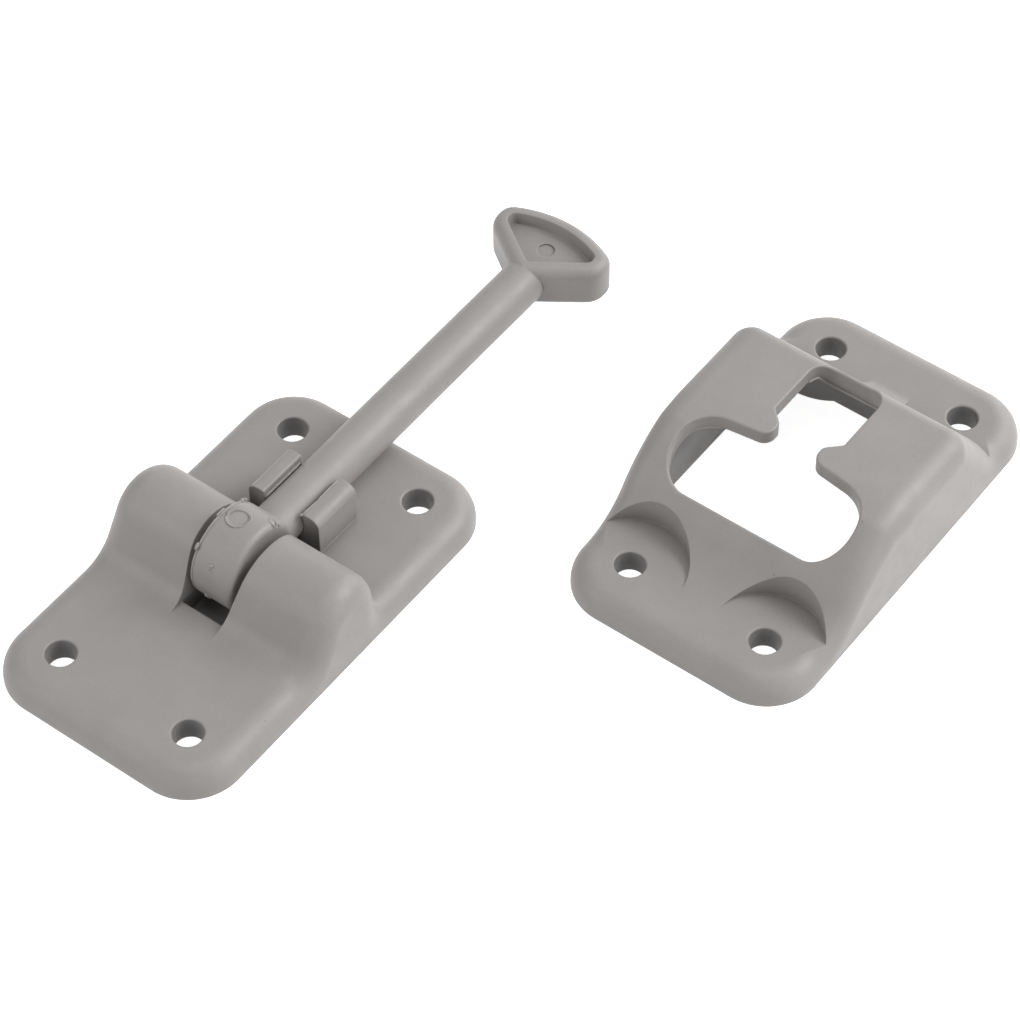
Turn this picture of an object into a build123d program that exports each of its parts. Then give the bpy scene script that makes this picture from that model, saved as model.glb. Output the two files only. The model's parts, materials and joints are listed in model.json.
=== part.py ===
# T-style door holder: an arm unit and its catch, both moulded in plastic.
# Frame: origin at the centre of the arm unit's screw pattern, on its mounting face.
# +Z points away from the wall, +Y along the stored arm towards its T-head.

import math
import os

from build123d import *

os.makedirs("parts", exist_ok=True)

# Screw-down plate, the same outline on both mouldings
plate_width = 52.2
plate_length = 88.4
plate_thickness = 5.3
plate_corner_radius = 11.0
plate_edge_radius = 4.8
screw_spacing_x = 30.0
screw_spacing_y = 66.7
screw_hole_diameter = 5.95
hole_rim_chamfer = 0.25
wall = 3.0

# Hinged arm
rod_diameter = 9.0
rod_lift = 0.35
head_shoulder = 84.2
head_length = 17.9
head_tip_crown = 3.7
head_flank_angle = 35.0
head_half_width = 13.0
head_half_thickness = 4.65
head_corner_radius = 4.6
head_tip_corner_radius = 3.4
head_top_edge_radius = 2.2
head_bottom_edge_radius = 1.6
head_rim = 2.8
head_field_depth = 2.3
head_field_draft = 18.0
head_field_corner_radius = 0.9
ejector_mark_reach = 10.0
ejector_mark_radius = 1.7
ejector_mark_depth = 0.3
drum_radius = 9.4
drum_width = 9.2
drum_edge_radius = 1.1
drum_mark_radius = 1.9
drum_mark_tilt = 8.0
drum_mark_offset = 1.2
drum_mark_depth = 0.3

# Hinge pin
pivot_y = 0.6
pin_diameter = 5.0
pin_running_clearance = 0.1
pin_seat_clearance = 0.02
pin_end_chamfer = 0.4

# Hinge hump of the arm unit
hump_radius = 8.7
hump_axis_y = 0.5
hump_axis_drop = 1.1
hump_front_slope = 60.0
hump_front_foot_radius = 6.0
hump_back_foot_radius = 1.0
hump_draft = 1.5
slot_side_clearance = 0.35
slot_draft = 7.4
slot_front = 11.2
slot_web = 0.8
slot_web_end = -4.0
channel_front = 17.0
cheek = 2.0
core_end_wall = 4.2

# Jaws that store the arm
jaw_start = 12.7
jaw_length = 11.0
jaw_half_width = 8.3
jaw_height = 8.6
jaw_outer_radius = 2.0
jaw_lip_radius = 0.45
jaw_clearance = 0.12
jaw_root_half_width = 3.2

# Catch
catch_x = 70.8
catch_y = 78.0
hump_height = 16.3
hump_crest = 16.8
crest_radius = 3.4
crown_front = -1.0
crown_radius = 45.0
knee = -10.0
knee_radius = 5.0
ramp_radius = 32.5
ramp_foot = -26.4
ramp_foot_radius = 12.0
rear_slope = 52.0
rear_foot_radius = 4.0
catch_draft = 0.5
screw_clearance_radius = 11.0
boss_radius = 8.8
clearance_wall = 1.4
cavity_half_width = 22.0
cavity_half_length = 26.4
cavity_corner_radius = 2.0

# T-shaped opening of the catch, about the plate's centre
neck_half_width = 7.6
neck_rear = 17.2
neck_corner_radius = 4.2
prong_clearance = 0.25
prong_tip_rear_radius = 1.7
prong_tip_front_radius = 2.4
prong_front = -4.3
prong_front_rake = 7.0
prong_flank_rear = 2.0
prong_flank_angle = 44.0
prong_root_radius = 0.8
mouth_half_width = 19.4
mouth_front = -19.6
mouth_rear_radius = 7.6
mouth_front_radius = 6.4
opening_edge_radius = 0.4

# Places worked out from the sizes above
half_width = plate_width / 2
half_length = plate_length / 2
pivot_z = plate_thickness + rod_lift + rod_diameter / 2
slot_half_width = drum_width / 2 + slot_side_clearance
cheek_outer = slot_half_width + cheek
hump_axis_z = pivot_z - hump_axis_drop
hump_top = hump_axis_z + hump_radius
hump_back = hump_axis_y + hump_radius
pivot = Location((0, pivot_y, pivot_z), (0, 90, 0))
jaw_seat_radius = rod_diameter / 2 + jaw_clearance
catch_top = plate_thickness + hump_height
over_everything = 4 * catch_top


def tapered_blank(draft):
    """The plate's outline drawn upwards with the mould's draft."""
    with BuildPart() as blank:
        with BuildSketch():
            RectangleRounded(plate_width, plate_length, plate_corner_radius)
        extrude(amount=catch_top + wall, taper=draft)
    return blank.part


def rim_edges(part):
    """The edges that run round the top of the plate and over the hump."""
    inner_x = half_width - plate_corner_radius / 2
    inner_y = half_length - plate_corner_radius / 2
    return [
        edge
        for edge in part.edges()
        if edge.center().Z > plate_thickness - 0.01
        and (abs(edge.center().X) > inner_x or abs(edge.center().Y) > inner_y)
    ]


def cut_screw_holes():
    """Four plain holes through the plate in the open part, with a broken rim."""
    with Locations((0, 0, plate_thickness)):
        with GridLocations(screw_spacing_x, screw_spacing_y, 2, 2):
            CounterSinkHole(
                radius=screw_hole_diameter / 2,
                counter_sink_radius=screw_hole_diameter / 2 + hole_rim_chamfer,
                depth=plate_thickness,
                counter_sink_angle=90,
            )


# Arm base: plate, hinge hump and storing jaws in one moulding
front_slope = math.radians(hump_front_slope)
slope_meets_y = hump_axis_y - hump_radius * math.sin(front_slope)
slope_meets_z = hump_axis_z + hump_radius * math.cos(front_slope)
front_foot_y = slope_meets_y - (slope_meets_z - plate_thickness) / math.tan(front_slope)

with BuildPart() as arm_base:
    with BuildSketch(Plane.YZ):
        with BuildLine():
            Polyline(
                (slope_meets_y, slope_meets_z),
                (front_foot_y, plate_thickness),
                (-half_length, plate_thickness),
                (-half_length, 0),
                (half_length, 0),
                (half_length, plate_thickness),
                (hump_back, plate_thickness),
                (hump_back, hump_axis_z),
            )
            ThreePointArc(
                (hump_back, hump_axis_z),
                (hump_axis_y, hump_top),
                (slope_meets_y, slope_meets_z),
            )
        make_face()
        front_foot = vertices().sort_by_distance((front_foot_y, plate_thickness))[0]
        fillet(front_foot, hump_front_foot_radius)
        back_foot = vertices().sort_by_distance((hump_back, plate_thickness))[0]
        fillet(back_foot, hump_back_foot_radius)
    extrude(amount=half_width, both=True)
    add(tapered_blank(hump_draft), mode=Mode.INTERSECT)
    fillet(rim_edges(arm_base.part), plate_edge_radius)

    # Storing jaws: rounded blocks with a round seat for the arm between them
    with BuildSketch(Plane.XZ.offset(-jaw_start)):
        with Locations((0, plate_thickness - wall)):
            Rectangle(2 * jaw_half_width, wall + jaw_height, align=(Align.CENTER, Align.MIN))
        fillet(vertices().group_by(Axis.Y)[-1], jaw_outer_radius)
    extrude(amount=-jaw_length)
    with BuildSketch(Plane.XZ.offset(1 - jaw_start)):
        with Locations((0, pivot_z)):
            Circle(jaw_seat_radius)
            Rectangle(2 * jaw_seat_radius, over_everything, align=(Align.CENTER, Align.MIN))
        with Locations((0, plate_thickness)):
            Rectangle(2 * jaw_root_half_width, rod_diameter / 2, align=(Align.CENTER, Align.MIN))
    extrude(amount=-jaw_length - 2, mode=Mode.SUBTRACT)
    lip_height = plate_thickness + jaw_height
    lips = edges().filter_by(Axis.Y).filter_by_position(Axis.Z, lip_height - 0.01, lip_height + 0.01)
    fillet(lips.filter_by_position(Axis.X, -jaw_seat_radius - 0.01, jaw_seat_radius + 0.01), jaw_lip_radius)

    # Flared slot over the plate, and a deep one for the drum with a thin web under its front
    slot_rise = hump_top + 1 - plate_thickness
    flare = slot_rise * math.tan(math.radians(slot_draft))
    with BuildSketch(Plane.XZ.offset(channel_front)):
        with BuildLine():
            Polyline(
                (-slot_half_width, plate_thickness),
                (slot_half_width, plate_thickness),
                (slot_half_width + flare, hump_top + 1),
                (-slot_half_width - flare, hump_top + 1),
                close=True,
            )
        make_face()
    extrude(amount=-(channel_front + hump_back + 1), mode=Mode.SUBTRACT)
    with BuildSketch():
        with Locations((0, slot_web_end)):
            Rectangle(2 * slot_half_width, hump_back - slot_web_end, align=(Align.CENTER, Align.MIN))
    extrude(amount=plate_thickness + 1, mode=Mode.SUBTRACT)
    with BuildSketch(Plane.XY.offset(slot_web)):
        with Locations((0, -slot_front)):
            Rectangle(2 * slot_half_width, hump_back + slot_front, align=(Align.CENTER, Align.MIN))
    extrude(amount=plate_thickness, mode=Mode.SUBTRACT)

    # Cores under both halves of the hump keep the walls even
    core_radius = hump_radius - wall
    with BuildSketch(Plane.YZ.offset(cheek_outer)) as core:
        with Locations((hump_axis_y, hump_axis_z)):
            Circle(core_radius)
        with Locations((hump_axis_y, 0)):
            Rectangle(2 * core_radius, hump_axis_z, align=(Align.CENTER, Align.MIN))
    core_width = half_width - core_end_wall - cheek_outer
    core_solid = extrude(core.sketch, amount=core_width, mode=Mode.PRIVATE)
    add(core_solid, mode=Mode.SUBTRACT)
    add(core_solid.mirror(Plane.YZ), mode=Mode.SUBTRACT)

    # Seats of the hinge pin in the two cheeks
    with Locations(pivot):
        Cylinder(pin_diameter / 2 + pin_seat_clearance, 2 * cheek_outer, mode=Mode.SUBTRACT)
    cut_screw_holes()

arm_base.part.label = "arm_base"


# Arm: fan-shaped head, round rod and hinge drum in one moulding
flank_slope = math.tan(math.radians(head_flank_angle))
head_flank_end = head_shoulder + head_half_width * flank_slope
head_tip = head_shoulder + head_length
head_side_end = head_tip - head_tip_crown
head_bottom = pivot_z - head_half_thickness
head_top = pivot_z + head_half_thickness
field_floor = head_top - head_field_depth

with BuildLine() as fan_outline:
    Polyline(
        (-head_half_width, head_side_end),
        (-head_half_width, head_flank_end),
        (0, head_shoulder),
        (head_half_width, head_flank_end),
        (head_half_width, head_side_end),
    )
    ThreePointArc(
        (head_half_width, head_side_end),
        (0, head_tip),
        (-head_half_width, head_side_end),
    )

with BuildPart() as t_arm:
    # Drum across the rod's near end, its two rims rounded
    with Locations(pivot):
        Cylinder(drum_radius, drum_width)
    fillet(edges().filter_by(GeomType.CIRCLE), drum_edge_radius)

    # Fan-shaped head, rounded more on its face than underneath
    with BuildSketch(Plane.XY.offset(head_bottom)):
        make_face(fan_outline.line)
        fillet(vertices().group_by(Axis.Y)[1], head_corner_radius)
        fillet(vertices().group_by(Axis.Y)[-1], head_tip_corner_radius)
    extrude(amount=2 * head_half_thickness)
    head_faces = faces().filter_by(Plane.XY).sort_by(Axis.Z)
    fillet(head_faces[-1].edges(), head_top_edge_radius)
    fillet(faces().filter_by(Plane.XY).sort_by(Axis.Z)[0].edges(), head_bottom_edge_radius)

    # The rod runs from inside the drum to inside the head
    with BuildSketch(Plane.XZ):
        with Locations((0, pivot_z)):
            Circle(rod_diameter / 2)
    extrude(amount=-(head_shoulder + head_rim))

    # Sunk field of the head, with the round mark of an ejector in its floor
    field_inset = head_rim + head_field_depth * math.tan(math.radians(head_field_draft))
    with BuildSketch(Plane.XY.offset(field_floor)):
        make_face(fan_outline.line)
        offset(amount=-field_inset, kind=Kind.INTERSECTION, mode=Mode.REPLACE)
        fillet(vertices(), head_field_corner_radius)
    extrude(amount=head_field_depth + 1, taper=-head_field_draft, mode=Mode.SUBTRACT)
    with BuildSketch(Plane.XY.offset(field_floor - ejector_mark_depth)):
        with Locations((0, head_shoulder + ejector_mark_reach)):
            Circle(ejector_mark_radius)
    extrude(amount=head_field_depth, mode=Mode.SUBTRACT)

    # The same mark, flat, on top of the drum
    with Locations(Location((-drum_mark_offset, pivot_y, pivot_z), (-drum_mark_tilt, 0, 0))):
        with Locations((0, 0, drum_radius - drum_mark_depth)):
            Cylinder(
                drum_mark_radius,
                2 * drum_mark_depth,
                align=(Align.CENTER, Align.CENTER, Align.MIN),
                mode=Mode.SUBTRACT,
            )

    # Bore of the hinge pin
    with Locations(pivot):
        Cylinder(pin_diameter / 2 + pin_running_clearance, drum_width + 1, mode=Mode.SUBTRACT)

t_arm.part.label = "t_arm"


with BuildPart() as hinge_pin:
    with Locations(pivot):
        Cylinder(pin_diameter / 2, 2 * cheek_outer)
    chamfer(hinge_pin.edges().filter_by(GeomType.CIRCLE), pin_end_chamfer)

hinge_pin.part.label = "hinge_pin"


# Catch: a hollow hump on the same plate. Its side profile is a gentle crown, a knee, a long
# convex ramp down to the plate in front and a straight slope behind the crest.
slope = math.radians(rear_slope)
crown_axis_z = catch_top - crown_radius
knee_z = crown_axis_z + math.sqrt(crown_radius**2 - (knee - crown_front) ** 2)
chord_y = knee - ramp_foot
chord_z = knee_z - plate_thickness
chord = math.hypot(chord_y, chord_z)
chord_to_axis = math.sqrt(ramp_radius**2 - (chord / 2) ** 2)
ramp_axis_y = (knee + ramp_foot) / 2 + chord_to_axis * chord_z / chord
ramp_axis_z = (knee_z + plate_thickness) / 2 - chord_to_axis * chord_y / chord
crown_lean = math.asin((crown_front - knee) / crown_radius)
ramp_lean = math.asin((ramp_axis_y - knee) / ramp_radius)


def on_arc(y, axis_y, axis_z, radius):
    """The point at y on the upper side of an arc of the profile."""
    return (y, axis_z + math.sqrt(radius**2 - (y - axis_y) ** 2))


def catch_profile(inset, foot):
    """Side profile of the hump moved inwards by inset, and where it meets the height foot."""
    top = catch_top - inset
    crown = crown_radius - inset
    ramp = ramp_radius - inset
    knee_reach = inset / math.cos((ramp_lean - crown_lean) / 2)
    knee_lean = (ramp_lean + crown_lean) / 2
    knee_point = (knee + knee_reach * math.sin(knee_lean), knee_z - knee_reach * math.cos(knee_lean))
    front_foot_y = ramp_axis_y - math.sqrt(ramp**2 - (foot - ramp_axis_z) ** 2)
    ramp_middle = on_arc((front_foot_y + knee_point[0]) / 2, ramp_axis_y, ramp_axis_z, ramp)
    crown_middle = on_arc((crown_front + knee_point[0]) / 2, crown_front, crown_axis_z, crown)
    crest_y = hump_crest - inset * math.tan(slope / 2)
    rear_foot_y = crest_y + (top - foot) / math.tan(slope)
    with BuildLine() as outline:
        ThreePointArc((front_foot_y, foot), ramp_middle, knee_point)
        ThreePointArc(knee_point, crown_middle, (crown_front, top))
        Polyline((crown_front, top), (crest_y, top), (rear_foot_y, foot))
    return outline.line, front_foot_y, rear_foot_y


# The hollow under the hump, one wall inside it, kept clear of the screws and of the round
# clearances that are cut for them from above
with BuildPart() as cavity:
    inner_line, inner_front, inner_rear = catch_profile(wall, 0)
    with BuildSketch(Plane.YZ):
        with BuildLine():
            add(inner_line)
            Line((inner_rear, 0), (inner_front, 0))
        make_face()
    extrude(amount=cavity_half_width, both=True)
    with BuildSketch():
        RectangleRounded(2 * cavity_half_width, 2 * cavity_half_length, cavity_corner_radius)
    extrude(amount=catch_top, mode=Mode.INTERSECT)
    with BuildSketch():
        with GridLocations(screw_spacing_x, screw_spacing_y, 2, 2):
            Circle(boss_radius)
    extrude(amount=catch_top, mode=Mode.SUBTRACT)
    with BuildSketch(Plane.XY.offset(plate_thickness - clearance_wall)):
        with GridLocations(screw_spacing_x, screw_spacing_y, 2, 2):
            Circle(screw_clearance_radius + clearance_wall)
    extrude(amount=catch_top, mode=Mode.SUBTRACT)

with BuildPart() as catch_shell:
    outer_line, outer_front, outer_rear = catch_profile(0, plate_thickness)
    with BuildSketch(Plane.YZ):
        with BuildLine():
            add(outer_line)
            Polyline(
                (outer_rear, plate_thickness),
                (half_length, plate_thickness),
                (half_length, 0),
                (-half_length, 0),
                (-half_length, plate_thickness),
                (outer_front, plate_thickness),
            )
        make_face()
        front_foot = vertices().sort_by_distance((outer_front, plate_thickness))[0]
        fillet(front_foot, ramp_foot_radius)
        rear_foot = vertices().sort_by_distance((outer_rear, plate_thickness))[0]
        fillet(rear_foot, rear_foot_radius)
        fillet(vertices().sort_by_distance((knee, knee_z))[0], knee_radius)
        fillet(vertices().sort_by_distance((hump_crest, catch_top))[0], crest_radius)
    extrude(amount=half_width, both=True)
    add(tapered_blank(catch_draft), mode=Mode.INTERSECT)
    fillet(rim_edges(catch_shell.part), plate_edge_radius)

    # Round clearances for the screw heads, down to the plate
    with BuildSketch(Plane.XY.offset(plate_thickness)):
        with GridLocations(screw_spacing_x, screw_spacing_y, 2, 2):
            Circle(screw_clearance_radius)
    extrude(amount=catch_top, mode=Mode.SUBTRACT)
    add(cavity.part, mode=Mode.SUBTRACT)

    # T-shaped opening: neck, two prongs with rounded tips, wide mouth
    prong_x = rod_diameter / 2 + prong_clearance
    flank_run = neck_half_width - prong_x
    tip_rear = prong_flank_rear - flank_run * math.tan(math.radians(prong_flank_angle))
    rake_run = mouth_half_width - prong_x
    mouth_rear = prong_front - rake_run * math.tan(math.radians(prong_front_rake))
    with BuildSketch():
        with BuildLine():
            right_side = Polyline(
                (0, neck_rear),
                (neck_half_width, neck_rear),
                (neck_half_width, prong_flank_rear),
                (prong_x, tip_rear),
                (prong_x, prong_front),
                (mouth_half_width, mouth_rear),
                (mouth_half_width, mouth_front),
                (0, mouth_front),
            )
            mirror(right_side, about=Plane.YZ)
        make_face()
        rounded_corners = [
            (neck_half_width, neck_rear, neck_corner_radius),
            (neck_half_width, prong_flank_rear, prong_root_radius),
            (prong_x, tip_rear, prong_tip_rear_radius),
            (prong_x, prong_front, prong_tip_front_radius),
            (mouth_half_width, mouth_rear, mouth_rear_radius),
            (mouth_half_width, mouth_front, mouth_front_radius),
        ]
        for corner_x, corner_y, radius in rounded_corners:
            for side in (-1, 1):
                corner = vertices().sort_by_distance((side * corner_x, corner_y))[0]
                fillet(corner, radius)
    extrude(amount=catch_top + 1, mode=Mode.SUBTRACT)
    outer_rim = [edge for edge in edges(Select.LAST) if edge.distance_to(cavity.part) > wall / 2]
    fillet(outer_rim, opening_edge_radius)
    cut_screw_holes()

with BuildPart() as catch_plate:
    with Locations((catch_x, catch_y)):
        add(catch_shell.part)

catch_plate.part.label = "catch_plate"

for piece in (arm_base, t_arm, hinge_pin, catch_plate):
    export_step(piece.part, f"parts/{piece.part.label}.step")
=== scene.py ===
import json
import math

import bmesh
import bpy
from mathutils import Euler, Matrix, Vector, noise


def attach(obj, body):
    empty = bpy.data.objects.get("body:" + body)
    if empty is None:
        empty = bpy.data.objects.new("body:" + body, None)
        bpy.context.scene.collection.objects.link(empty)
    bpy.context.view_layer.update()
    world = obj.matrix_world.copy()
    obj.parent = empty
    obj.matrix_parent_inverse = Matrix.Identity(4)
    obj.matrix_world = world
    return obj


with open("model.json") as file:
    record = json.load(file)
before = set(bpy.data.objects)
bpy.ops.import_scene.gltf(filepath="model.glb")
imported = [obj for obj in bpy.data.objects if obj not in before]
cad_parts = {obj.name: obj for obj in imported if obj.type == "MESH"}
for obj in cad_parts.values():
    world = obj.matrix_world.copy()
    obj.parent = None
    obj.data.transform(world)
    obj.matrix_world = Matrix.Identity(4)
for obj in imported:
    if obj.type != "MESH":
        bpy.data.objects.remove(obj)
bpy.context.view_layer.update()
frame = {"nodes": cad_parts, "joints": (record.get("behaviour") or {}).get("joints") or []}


# Arm base: the screw-down plate with the hinge hump and the two storing jaws. It is injection
# moulded in one piece from warm light-grey plastic, and the mould's fine spark-eroded texture
# gives it a satin face.
def moulded_plastic(name, tint, seed):
    """Satin grey plastic coloured through, with faint flow mottle, a fine mould texture, a painted
    highlight on its edges and painted shade in its recesses.
    """
    material = bpy.data.materials.new(name)
    material.use_nodes = True
    nodes, links = material.node_tree.nodes, material.node_tree.links
    plastic = nodes["Principled BSDF"]
    plastic.inputs["IOR"].default_value = 1.5
    plastic.inputs["Specular IOR Level"].default_value = 0.42

    # How fine each pattern is, in repeats a metre, and how far the painted edge highlight and the
    # painted recess shade reach
    flow, pigment, resin, gloss, grain = 110.0, 1500.0, 125.0, 260.0, 3600.0
    edge_highlight_reach, recess_shade_reach = 0.0003, 0.008
    edge_radius, grain_depth = 0.0004, 0.00003
    most_noise = (0.3, 0.7)

    place = nodes.new("ShaderNodeTexCoord")
    shifted = nodes.new("ShaderNodeMapping")
    shifted.inputs["Location"].default_value = (seed, 0.37 * seed, -seed)
    links.new(place.outputs["Object"], shifted.inputs["Vector"])

    def cloud(scale, detail, roughness):
        """A soft noise with that many repeats a metre."""
        texture = nodes.new("ShaderNodeTexNoise")
        texture.inputs["Scale"].default_value = scale
        texture.inputs["Detail"].default_value = detail
        texture.inputs["Roughness"].default_value = roughness
        links.new(shifted.outputs["Vector"], texture.inputs["Vector"])
        return texture.outputs["Fac"]

    def remap(value, span, result):
        """Turns the range span of a value into the range result."""
        node = nodes.new("ShaderNodeMapRange")
        node.inputs["From Min"].default_value, node.inputs["From Max"].default_value = span
        node.inputs["To Min"].default_value, node.inputs["To Max"].default_value = result
        links.new(value, node.inputs["Value"])
        return node.outputs["Result"]

    def shelter(distance, inside):
        """How open a point of this moulding is within distance, seen from outside or inside."""
        node = nodes.new("ShaderNodeAmbientOcclusion")
        node.samples = 6
        node.inside = inside
        node.only_local = True
        node.inputs["Distance"].default_value = distance
        return node.outputs["AO"]

    # Colour: clouds a centimetre wide, a faint speckle of pigment, a few dark specks of old
    # resin, a painted highlight that lightens the convex edges, and painted shade that darkens the
    # recesses
    specks = nodes.new("ShaderNodeTexVoronoi")
    specks.inputs["Scale"].default_value = resin
    links.new(shifted.outputs["Vector"], specks.inputs["Vector"])
    shades = [
        remap(cloud(flow, 3.0, 0.5), most_noise, (0.965, 1.035)),
        remap(cloud(pigment, 2.0, 0.6), most_noise, (0.98, 1.02)),
        remap(specks.outputs["Distance"], (0.01, 0.036), (0.62, 1.0)),
        # Painted highlight: the colour is made up to 22% lighter along convex edges
        remap(shelter(edge_highlight_reach, True), (0.45, 0.95), (1.22, 1.0)),
        # Painted shade: the colour darkens to as little as a fifth in recesses, where shade falls
        remap(shelter(recess_shade_reach, False), (0.1, 0.72), (0.2, 1.0)),
    ]
    shade = shades[0]
    for more in shades[1:]:
        both = nodes.new("ShaderNodeMath")
        both.operation = "MULTIPLY"
        links.new(shade, both.inputs[0])
        links.new(more, both.inputs[1])
        shade = both.outputs["Value"]
    colour = nodes.new("ShaderNodeVectorMath")
    colour.operation = "SCALE"
    colour.inputs[0].default_value = tint
    links.new(shade, colour.inputs["Scale"])
    links.new(colour.outputs["Vector"], plastic.inputs["Base Color"])

    # Gloss: satin, a little uneven where the flow reached the mould's wall
    links.new(remap(cloud(gloss, 3.0, 0.55), most_noise, (0.40, 0.52)), plastic.inputs["Roughness"])

    # Mould texture, about a quarter of a millimetre across and some ten microns deep, over edges
    # that the mould leaves a little soft
    soft_edge = nodes.new("ShaderNodeBevel")
    soft_edge.samples = 8
    soft_edge.inputs["Radius"].default_value = edge_radius
    texture = nodes.new("ShaderNodeBump")
    texture.inputs["Strength"].default_value = 0.35
    texture.inputs["Distance"].default_value = grain_depth
    links.new(cloud(grain, 2.0, 0.5), texture.inputs["Height"])
    links.new(soft_edge.outputs["Normal"], texture.inputs["Normal"])
    links.new(texture.outputs["Normal"], plastic.inputs["Normal"])
    return material


def dress(node, material):
    """Gives a CAD node its finish."""
    mesh = frame["nodes"][node].data
    mesh.materials.clear()
    mesh.materials.append(material)


MM = 0.001
UP = Vector((0, 0, 1))
END_SIZE = 0.35
WAVER, WAVES_PER_MM = 0.35, 0.9
LUMPS, LUMPS_PER_METRE = 0.3, 2500.0


def bead(shape, path, wide, high, up):
    """Adds a thin wavering line of flash along path; points and half sizes in millimetres."""
    loop = []
    for count, point in enumerate(path):
        before, after = path[max(count - 1, 0)], path[min(count + 1, len(path) - 1)]
        ahead = (Vector(after) - Vector(before)).normalized()
        side = ahead.cross(up).normalized()
        last = count in (0, len(path) - 1)
        size = END_SIZE if last else 1 + WAVER * noise.noise(Vector(point) * WAVES_PER_MM)
        section = Matrix((side * size * wide, side.cross(ahead) * size * high, ahead)).transposed()
        place = Matrix.Translation(Vector(point) * MM) @ (section * MM).to_4x4()
        ring = bmesh.ops.create_circle(
            shape, cap_ends=last, segments=8, radius=1.0, matrix=place
        )["verts"]
        edges = list(dict.fromkeys(edge for vert in ring for edge in vert.link_edges))
        if loop:
            bmesh.ops.bridge_loops(shape, edges=loop + edges)
        loop = edges


def nub(shape, centre, radii, tilt=0):
    """Adds a small lump of flash; centre and radii in millimetres, tilt in degrees about X."""
    middle = Vector(centre) * MM
    turn = Matrix.Rotation(math.radians(tilt), 4, "X")
    place = Matrix.Translation(middle) @ turn @ Matrix.Diagonal(Vector(radii) * MM).to_4x4()
    lump = bmesh.ops.create_icosphere(shape, subdivisions=3, radius=1.0, matrix=place)["verts"]
    for vert in lump:
        push = 1 + LUMPS * noise.noise(vert.co * LUMPS_PER_METRE)
        vert.co = middle + (vert.co - middle) * push


def flash_piece(name, shape, body, material):
    """Finishes a bmesh of flash lines and lumps as one piece that moves with body."""
    bmesh.ops.recalc_face_normals(shape, faces=shape.faces)
    for face in shape.faces:
        face.smooth = True
    mesh = bpy.data.meshes.new(name)
    shape.to_mesh(mesh)
    shape.free()
    mesh.materials.append(material)
    piece = bpy.data.objects.new(name, mesh)
    bpy.context.scene.collection.objects.link(piece)
    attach(piece, body)


GREY = (0.32, 0.303, 0.291)
base_plastic = moulded_plastic("arm_base_plastic", GREY, 0.11)
dress("arm_base", base_plastic)

# The jaws' thin lips, which stop just short of the stored arm, and the burr and the nub on the
# right jaw's inner edge, in millimetres
JAW_START, JAW_STEP, JAW_STEPS = 12.8, 0.55, 20
LIP_X, LIP_Z = 4.52, 12.2
EDGE_X, EDGE_Z, EDGE_SWAY = 4.66, 13.7, 0.1

lips = bmesh.new()
along_jaw = [JAW_START + JAW_STEP * count for count in range(JAW_STEPS)]
for lip_x in (-LIP_X, LIP_X):
    bead(lips, [(lip_x, y, LIP_Z) for y in along_jaw], 0.3, 0.32, UP)
jaw_edge = []
for y in along_jaw:
    sway = EDGE_SWAY * noise.noise(Vector((0.8 * y, 0, 5.3)))
    jaw_edge.append((EDGE_X + sway, y, EDGE_Z))
bead(lips, jaw_edge, 0.2, 0.26, UP)
nub(lips, (4.4, 12.7, 13.5), (0.35, 0.4, 0.45))
flash_piece("jaw_lips", lips, "base", base_plastic)


# Arm: the hinged moulding with its drum, round rod and fan-shaped T-head. Same plastic. Its
# mould has left a thin burr round the drum's left rim, a raised ring round the ejector's mark
# and a few small nubs.
arm_plastic = moulded_plastic("t_arm_plastic", GREY, 0.53)
dress("t_arm", arm_plastic)

PIN_Y, PIN_Z = (place / MM for place in frame["joints"][0]["pos_m"][1:])
DRUM_RADIUS = 9.4
RIM_X, RIM_RADIUS, RIM_SIZE = -4.32, 9.12, 0.27
MARK_X, MARK_TURN, RING_RADIUS = -1.2, 82, 2.35
HOOK_X, HOOK_TURN, HOOK_RADIUS = -1.7, 206, 9.42
DENT_X, DENT_Y = 3.7, 5.5

# Nubs: place across the drum, turn, distance from the pin, half sizes and tilt
NUBS = [
    (-4.43, 136, 9.6, (0.36, 0.75, 0.5), 46),
    (-4.42, 51, 9.45, (0.36, 0.4, 0.35), 0),
    (-4.43, 44, 9.5, (0.36, 0.35, 0.4), 0),
    (4.4, 50, 8.9, (0.35, 0.3, 0.35), 0),
    (-0.35, 148, 9.4, (0.45, 0.42, 0.4), 0),
    (-0.3, 155, 9.38, (0.45, 0.2, 0.3), 0),
]


def outwards(degrees):
    """The way out of the drum; degrees from the stored arm's direction, upwards and over."""
    turn = math.radians(degrees)
    return Vector((0, math.cos(turn), math.sin(turn)))


def on_drum(x, degrees, radius=DRUM_RADIUS):
    """A point of the drum in millimetres."""
    return Vector((x, PIN_Y, PIN_Z)) + outwards(degrees) * radius


burr = bmesh.new()
ACROSS = Vector((1, 0, 0))
bead(burr, [on_drum(RIM_X, turn, RIM_RADIUS) for turn in range(38, 322, 4)], RIM_SIZE, RIM_SIZE, ACROSS)
bead(burr, [on_drum(-4.55, turn, 9.5) for turn in range(96, 81, -2)], 0.22, 0.2, ACROSS)

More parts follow.
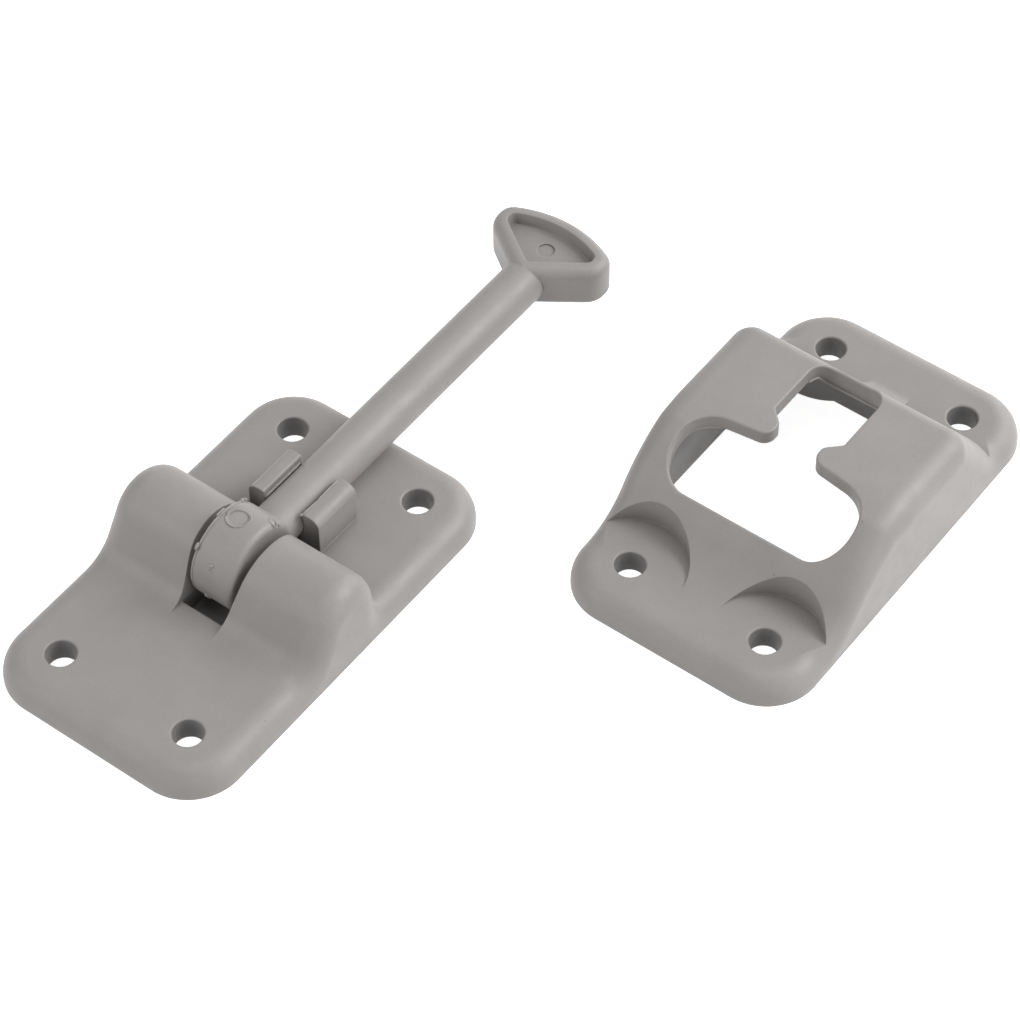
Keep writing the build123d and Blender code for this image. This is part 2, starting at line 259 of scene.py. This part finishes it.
# The raised ring, the small hook behind it and the faint dent's rim all run round a circle
circle = [math.radians(degrees) for degrees in range(200, 561, 12)]
ring, hook, dent = [], [], []
for angle in circle:
    ring_turn = MARK_TURN - math.degrees(RING_RADIUS * math.sin(angle) / DRUM_RADIUS)
    ring.append(on_drum(MARK_X + RING_RADIUS * math.cos(angle), ring_turn))
    hook_turn = HOOK_TURN + 4.4 * math.sin(angle)
    hook.append(on_drum(HOOK_X + 0.68 * math.cos(angle), hook_turn, HOOK_RADIUS))
    dent_x = DENT_X + 1.05 * math.cos(angle)
    dent_y = DENT_Y - 0.3 * math.cos(angle) + 0.6 * math.sin(angle)
    over_the_rim = max(0.0, dent_x - DENT_X) ** 2 * 0.5
    dent_z = PIN_Z + math.sqrt(DRUM_RADIUS ** 2 - (dent_y - PIN_Y) ** 2) - over_the_rim
    dent.append((dent_x, dent_y, dent_z))
bead(burr, ring, 0.3, 0.055, outwards(MARK_TURN))
bead(burr, hook[4:27], 0.28, 0.27, outwards(HOOK_TURN))
bead(burr, dent, 0.14, 0.07, Vector((0.2, 0.5, 0.84)))

for x, turn, radius, radii, tilt in NUBS:
    nub(burr, on_drum(x, turn, radius), radii, tilt)
nub(burr, (-10.9, 97.6, 14.6), (0.4, 0.35, 0.3))
flash_piece("t_arm_burr", burr, "arm", arm_plastic)


# Hinge pin: a plain drawn steel pin, pressed in through the cores under the hump. The die's
# fine lines run along it.
pin_steel = bpy.data.materials.new("pin_steel")
pin_steel.use_nodes = True
steel_nodes, steel_links = pin_steel.node_tree.nodes, pin_steel.node_tree.links
steel = steel_nodes["Principled BSDF"]
steel.inputs["Metallic"].default_value = 1.0
steel_place = steel_nodes.new("ShaderNodeTexCoord")
steel_stretch = steel_nodes.new("ShaderNodeMapping")
steel_stretch.inputs["Scale"].default_value = (60.0, 2500.0, 2500.0)
die_lines = steel_nodes.new("ShaderNodeTexNoise")
die_lines.inputs["Scale"].default_value = 1.0
steel_links.new(steel_place.outputs["Object"], steel_stretch.inputs["Vector"])
steel_links.new(steel_stretch.outputs["Vector"], die_lines.inputs["Vector"])


def line_by_line(lowest, highest):
    """A value that goes from lowest to highest with the die's lines."""
    node = steel_nodes.new("ShaderNodeMapRange")
    node.inputs["To Min"].default_value = lowest
    node.inputs["To Max"].default_value = highest
    steel_links.new(die_lines.outputs["Fac"], node.inputs["Value"])
    return node.outputs["Result"]


steel_links.new(line_by_line(0.45, 0.6), steel.inputs["Base Color"])
steel_links.new(line_by_line(0.2, 0.45), steel.inputs["Roughness"])
dress("hinge_pin", pin_steel)


# Catch: the hollow hump with its T-shaped opening and two prongs. Same plastic. A thin burr
# stands along the opening's lower rim, at the rear of the neck and at the left of the mouth.
catch_plastic = moulded_plastic("catch_plastic", GREY, 0.87)
dress("catch_plate", catch_plastic)

# The two stretches of the rim, as the corners of a box round each in millimetres
NECK_REAR = ((62.9, 90.5, 15.0), (78.7, 95.5, 19.0))
MOUTH_LEFT = ((50.5, 60.0, 11.0), (57.5, 73.0, 19.0))
UPRIGHT, DOWNWARD = 0.06, -0.3
RIM_STEP = 1.5

solid = bmesh.new()
solid.from_mesh(frame["nodes"]["catch_plate"].data)
bmesh.ops.remove_doubles(solid, verts=solid.verts, dist=0.000001)
solid.normal_update()


def lower_rim(low, high, inset):
    """Follows the rim between the opening's upright wall and the skin's underside, in a box."""
    rim_edges, wall_normals = set(), {}
    for edge in solid.edges:
        faces = sorted(edge.link_faces, key=lambda face: face.normal.z)
        if len(faces) != 2 or faces[0].normal.z > DOWNWARD or abs(faces[1].normal.z) > UPRIGHT:
            continue
        points = [vert.co / MM for vert in edge.verts]
        if all(low[axis] <= point[axis] <= high[axis] for point in points for axis in range(3)):
            rim_edges.add(edge)
            for vert in edge.verts:
                wall_normals[vert] = wall_normals.get(vert, Vector()) + faces[1].normal
    ends = [vert for vert in wall_normals if len(rim_edges.intersection(vert.link_edges)) == 1]
    here = min(ends, key=lambda vert: vert.co.x)
    line = []
    while here:
        point = here.co / MM + wall_normals[here].normalized() * inset
        before = line[-1] if line else point
        parts = max(1, math.ceil((point - before).length / RIM_STEP))
        line += [before.lerp(point, part / parts) for part in range(1, parts + 1)]
        ahead = [edge for edge in here.link_edges if edge in rim_edges]
        rim_edges.difference_update(ahead)
        here = ahead[0].other_vert(here) if ahead else None
    return line


rim = bmesh.new()
bead(rim, lower_rim(*NECK_REAR, 0.15), 0.34, 0.2, UP)
bead(rim, lower_rim(*MOUTH_LEFT, 0.0), 0.16, 0.16, UP)
solid.free()
flash_piece("catch_burr", rim, "base", catch_plastic)


# Studio: a white floor and backdrop, six soft boxes above and around, and the photo's camera.
# The glow that makes the ground white is seen but doesn't light the plastic.
WHITE = 0.92
AMBIENT = 0.12
FLOOR_HALF_SIZE, FLOOR_DROP = 3.0, 0.0001


def glow_white(nodes, links):
    """Adds a white glow that only the camera and mirrored or refracted rays see."""
    path = nodes.new("ShaderNodeLightPath")
    seen = path.outputs["Is Camera Ray"]
    for ray in ("Is Glossy Ray", "Is Transmission Ray"):
        either = nodes.new("ShaderNodeMath")
        either.operation = "MAXIMUM"
        links.new(seen, either.inputs[0])
        links.new(path.outputs[ray], either.inputs[1])
        seen = either.outputs["Value"]
    amount = nodes.new("ShaderNodeMath")
    amount.operation = "MULTIPLY"
    amount.inputs[1].default_value = WHITE
    links.new(seen, amount.inputs[0])
    return amount.outputs["Value"]


floor_mesh = bpy.data.meshes.new("floor")
floor_shape = bmesh.new()
bmesh.ops.create_grid(floor_shape, x_segments=1, y_segments=1, size=FLOOR_HALF_SIZE)
bmesh.ops.translate(floor_shape, verts=floor_shape.verts, vec=(0, 0, -FLOOR_DROP))
floor_shape.to_mesh(floor_mesh)
floor_shape.free()
floor = bpy.data.objects.new("floor", floor_mesh)
bpy.context.scene.collection.objects.link(floor)

floor_paint = bpy.data.materials.new("floor_paint")
floor_paint.use_nodes = True
floor_nodes, floor_links = floor_paint.node_tree.nodes, floor_paint.node_tree.links
paint = floor_nodes["Principled BSDF"]
paint.inputs["Base Color"].default_value = (0.8, 0.8, 0.8, 1)
paint.inputs["Roughness"].default_value = 0.9
paint.inputs["Specular IOR Level"].default_value = 0.0
paint.inputs["Emission Color"].default_value = (1, 1, 1, 1)
floor_links.new(glow_white(floor_nodes, floor_links), paint.inputs["Emission Strength"])
floor_mesh.materials.append(floor_paint)

world = bpy.data.worlds.new("studio")
bpy.context.scene.world = world
world.use_nodes = True
world_nodes, world_links = world.node_tree.nodes, world.node_tree.links
backdrop = world_nodes["Background"]
backdrop.inputs["Color"].default_value = (1, 1, 1, 1)
ambient = world_nodes.new("ShaderNodeMath")
ambient.operation = "ADD"
ambient.inputs[1].default_value = AMBIENT
world_links.new(glow_white(world_nodes, world_links), ambient.inputs[0])
world_links.new(ambient.outputs["Value"], backdrop.inputs["Strength"])

MIDDLE = Vector((0.035, 0.04, 0.0))
BOX_SIZE, BOX_DISTANCE = 0.7, 1.2


def soft_box(name, azimuth, elevation, watts):
    """A square studio light aimed at the middle; azimuth in degrees from +X towards +Y."""
    light = bpy.data.lights.new(name, "AREA")
    light.size = BOX_SIZE
    light.energy = watts
    turn = Euler((0, -math.radians(elevation), math.radians(azimuth))).to_matrix()
    away = turn @ Vector((BOX_DISTANCE, 0, 0))
    lamp = bpy.data.objects.new(name, light)
    lamp.location = MIDDLE + away
    lamp.rotation_euler = (-away).to_track_quat("-Z", "Y").to_euler()
    bpy.context.scene.collection.objects.link(lamp)


soft_box("key_box", 45, 40, 10.0)
soft_box("top_box", 0, 90, 3.0)
soft_box("left_front_box", 225, 30, 3.8)
soft_box("right_box", 0, 15, 2.9)
soft_box("rear_box", 90, 20, 3.6)
soft_box("front_box", 270, 15, 2.4)

# The camera that was fitted to the photo's screw holes
CAMERA_PLACE = (0.29447, -0.30543, 0.53075)
CAMERA_TURN = (39.707, 0.395, 36.788)
camera_data = bpy.data.cameras.new("camera")
camera_data.lens = 129.2
camera_data.sensor_width = 36.0
camera = bpy.data.objects.new("camera", camera_data)
camera.location = CAMERA_PLACE
camera.rotation_euler = Euler([math.radians(degrees) for degrees in CAMERA_TURN])
bpy.context.scene.collection.objects.link(camera)
bpy.context.scene.camera = camera
bpy.context.scene.view_settings.view_transform = "Standard"
